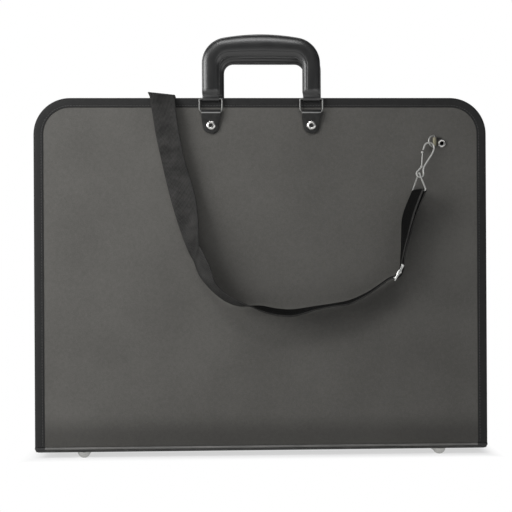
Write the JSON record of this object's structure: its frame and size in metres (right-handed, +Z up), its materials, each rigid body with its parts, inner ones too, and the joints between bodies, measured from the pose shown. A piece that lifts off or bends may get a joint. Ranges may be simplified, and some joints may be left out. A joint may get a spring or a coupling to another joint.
{
  "type": "art portfolio case",
  "caption": "Hard-sided zippered art portfolio standing on its spine, with bow handles on wire rings and a webbing shoulder strap on snap hooks.",
  "frame": {"origin": "on the floor, under the middle of the case", "axes": "+X along the spine to the case's right as the front is seen, the front faces -Y, +Z up"},
  "size_m": [0.56, 0.1136, 0.5205],
  "materials": {
    "grained_sheet": "fine leather grain, satin",
    "grained_strip": "fine grain",
    "fibreboard": "raw board",
    "lining_cloth": "plain cloth",
    "binding_tape": "woven tape",
    "gusset_cloth": "coated cloth",
    "zip_tape": "herringbone tape",
    "zip_teeth": "moulded",
    "leatherette": "satin",
    "nickel": "nickel plated",
    "zinc": "zinc plated",
    "webbing": "plain weave",
    "handle_moulding": "satin moulding",
    "tongue_moulding": "satin moulding",
    "slider_metal": "gunmetal"
  },
  "bodies": {
    "spine": {"spine_skin": "grained_strip", "spine_board": "fibreboard", "spine_lining": "lining_cloth", "spine_end_bindings": "binding_tape", "end_gussets": "gusset_cloth", "floor_studs": "nickel", "stud_washers": "zinc", "strap_crown": "webbing"},
    "front_cover": {"front_facing": "grained_sheet", "front_board": "fibreboard", "front_lining": "lining_cloth", "front_binding": "binding_tape", "front_gusset": "gusset_cloth", "front_zip_tape": "zip_tape", "front_zip_teeth": "zip_teeth", "front_tabs": "leatherette", "front_tab_rivets": "nickel", "front_tab_washers": "zinc", "front_anchor_plate": "zinc", "front_anchor_rivet": "nickel", "front_anchor_washer": "zinc", "front_d_ring": "nickel", "front_hook": "nickel", "front_strap_loop": "nickel", "front_strap": "webbing", "strap_buckle": "nickel"},
    "rear_cover": {"rear_facing": "grained_sheet", "rear_board": "fibreboard", "rear_lining": "lining_cloth", "rear_binding": "binding_tape", "rear_gusset": "gusset_cloth", "rear_zip_tape": "zip_tape", "rear_zip_teeth": "zip_teeth", "rear_tabs": "leatherette", "rear_tab_rivets": "nickel", "rear_tab_washers": "zinc", "rear_anchor_plate": "zinc", "rear_anchor_rivet": "nickel", "rear_anchor_washer": "zinc", "rear_d_ring": "nickel", "rear_hook": "nickel", "rear_strap_loop": "nickel", "rear_strap": "webbing"},
    "front_ring_pair": {"front_rings": "nickel"},
    "front_grip": {"front_handle": "handle_moulding", "front_tongues": "tongue_moulding"},
    "front_gate": {"front_hook_gate": "nickel"},
    "rear_ring_pair": {"rear_rings": "nickel"},
    "rear_grip": {"rear_handle": "handle_moulding", "rear_tongues": "tongue_moulding"},
    "rear_gate": {"rear_hook_gate": "nickel"},
    "left_zip_slider": {"left_slider": "slider_metal"},
    "left_zip_pull": {"left_pull": "slider_metal"},
    "right_zip_slider": {"right_slider": "slider_metal"},
    "right_zip_pull": {"right_pull": "slider_metal"}
  },
  "joints": [
    {"name": "front_cover_hinge", "type": "hinge", "parent": "spine", "child": "front_cover", "pos_m": [0, -0.0178, 0.0123], "axis": [1, 0, 0], "range_deg": [0, 90]},
    {"name": "rear_cover_hinge", "type": "hinge", "parent": "spine", "child": "rear_cover", "pos_m": [0, 0.0178, 0.0123], "axis": [-1, 0, 0], "range_deg": [0, 90]},
    {"name": "front_ring_hinge", "type": "hinge", "parent": "front_cover", "child": "front_ring_pair", "pos_m": [0, -0.0232, 0.4253], "axis": [1, 0, 0], "range_deg": [0, 150]},
    {"name": "front_handle_hinge", "type": "hinge", "parent": "front_ring_pair", "child": "front_grip", "pos_m": [0, -0.0232, 0.4417], "axis": [1, 0, 0], "range_deg": [-10, 30]},
    {"name": "rear_ring_hinge", "type": "hinge", "parent": "rear_cover", "child": "rear_ring_pair", "pos_m": [0, 0.0232, 0.4253], "axis": [-1, 0, 0], "range_deg": [0, 150]},
    {"name": "rear_handle_hinge", "type": "hinge", "parent": "rear_ring_pair", "child": "rear_grip", "pos_m": [0, 0.0232, 0.4417], "axis": [-1, 0, 0], "range_deg": [-10, 30]},
    {"name": "front_gate_hinge", "type": "hinge", "parent": "front_cover", "child": "front_gate", "pos_m": [0.19613, -0.03365, 0.35669], "axis": [-0.0902, 0.9703, -0.2245], "range_deg": [0, 18], "stiffness_Nm_per_rad": 0.05},
    {"name": "rear_gate_hinge", "type": "hinge", "parent": "rear_cover", "child": "rear_gate", "pos_m": [-0.19613, 0.03365, 0.35669], "axis": [0.0902, -0.9703, -0.2245], "range_deg": [0, 18], "stiffness_Nm_per_rad": 0.05},
    {"name": "left_slider_run", "type": "slide", "parent": "rear_cover", "child": "left_zip_slider", "axis": [-1, 0, 0], "range_m": [0, 0.21]},
    {"name": "left_pull_hinge", "type": "hinge", "parent": "left_zip_slider", "child": "left_zip_pull", "pos_m": [-0.01, 0, 0.439], "axis": [0, 1, 0], "range_deg": [0, 110]},
    {"name": "right_slider_run", "type": "slide", "parent": "rear_cover", "child": "right_zip_slider", "axis": [1, 0, 0], "range_m": [0, 0.21]},
    {"name": "right_pull_hinge", "type": "hinge", "parent": "right_zip_slider", "child": "right_zip_pull", "pos_m": [0.01, 0, 0.439], "axis": [0, -1, 0], "range_deg": [0, 110]}
  ]
}
